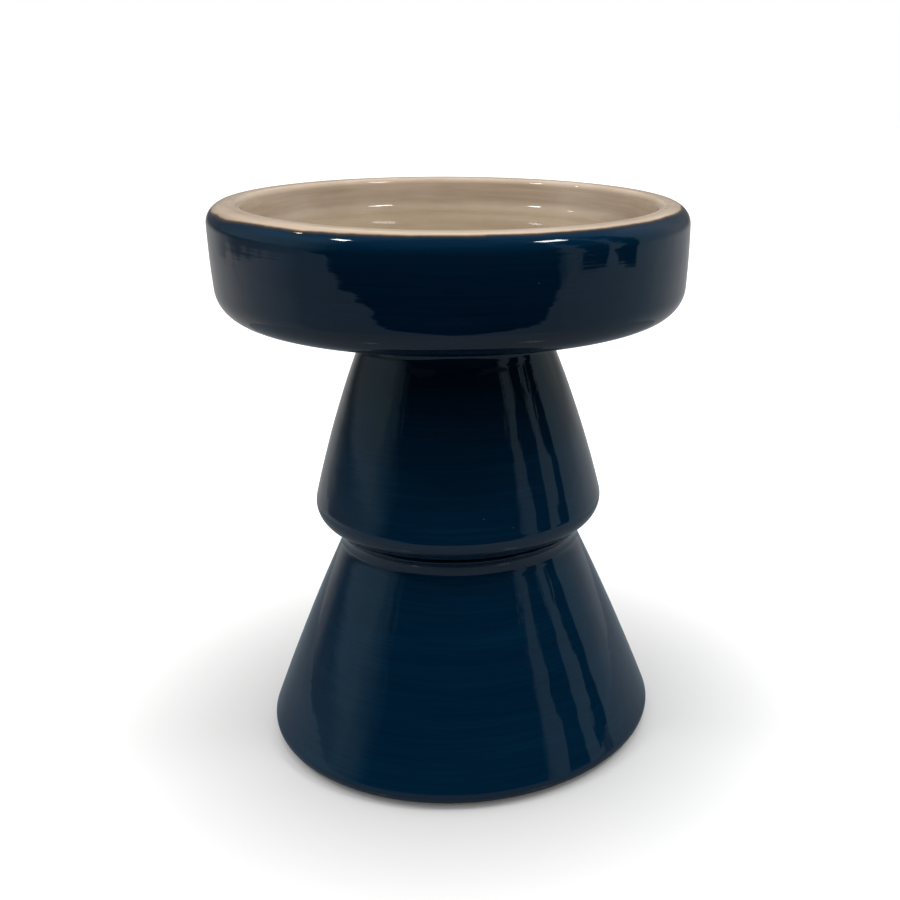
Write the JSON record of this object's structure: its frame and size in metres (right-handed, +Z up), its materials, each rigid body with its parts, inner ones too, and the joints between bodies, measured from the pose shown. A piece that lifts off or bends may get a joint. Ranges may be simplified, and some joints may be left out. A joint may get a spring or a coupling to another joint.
{
  "type": "bird bath",
  "caption": "Glazed ceramic bird bath: a shallow round basin that lifts off a pedestal of stacked, hollow, flared sections.",
  "frame": {"origin": "centre of the circle on which the foot pads stand, at the height of the surface under them", "axes": "+Z up along the axis that every turned piece shares; the pads lie on the diagonals between X and Y"},
  "size_m": [0.3396, 0.3396, 0.4073],
  "materials": {
    "blue_glaze": "glossy hand-brushed dark teal-navy glaze over the outside; the dish and the rim's flat top are glazed glossy warm beige-grey",
    "clear_silicone": "translucent satin silicone"
  },
  "bodies": {
    "lower_section": {"lower_section": "blue_glaze", "foot_pad_1": "clear_silicone", "foot_pad_2": "clear_silicone", "foot_pad_3": "clear_silicone", "foot_pad_4": "clear_silicone"},
    "pedestal_seat_ring": {"pedestal_seat_ring": "clear_silicone"},
    "upper_section": {"upper_section": "blue_glaze"},
    "basin_seat_ring": {"basin_seat_ring": "clear_silicone"},
    "basin": {"basin": "blue_glaze"}
  },
  "joints": [
    {"name": "pedestal_turn", "type": "hinge", "parent": "lower_section", "child": "pedestal_seat_ring", "pos_m": [0, 0, 0.1673], "axis": [0, 0, 1], "continuous": true},
    {"name": "upper_section_lift", "type": "slide", "parent": "pedestal_seat_ring", "child": "upper_section", "axis": [0, 0, 1], "range_m": [0, 0.04]},
    {"name": "basin_turn", "type": "hinge", "parent": "upper_section", "child": "basin_seat_ring", "pos_m": [0, 0, 0.3275], "axis": [0, 0, 1], "continuous": true},
    {"name": "basin_lift", "type": "slide", "parent": "basin_seat_ring", "child": "basin", "axis": [0, 0, 1], "range_m": [0, 0.04]}
  ]
}
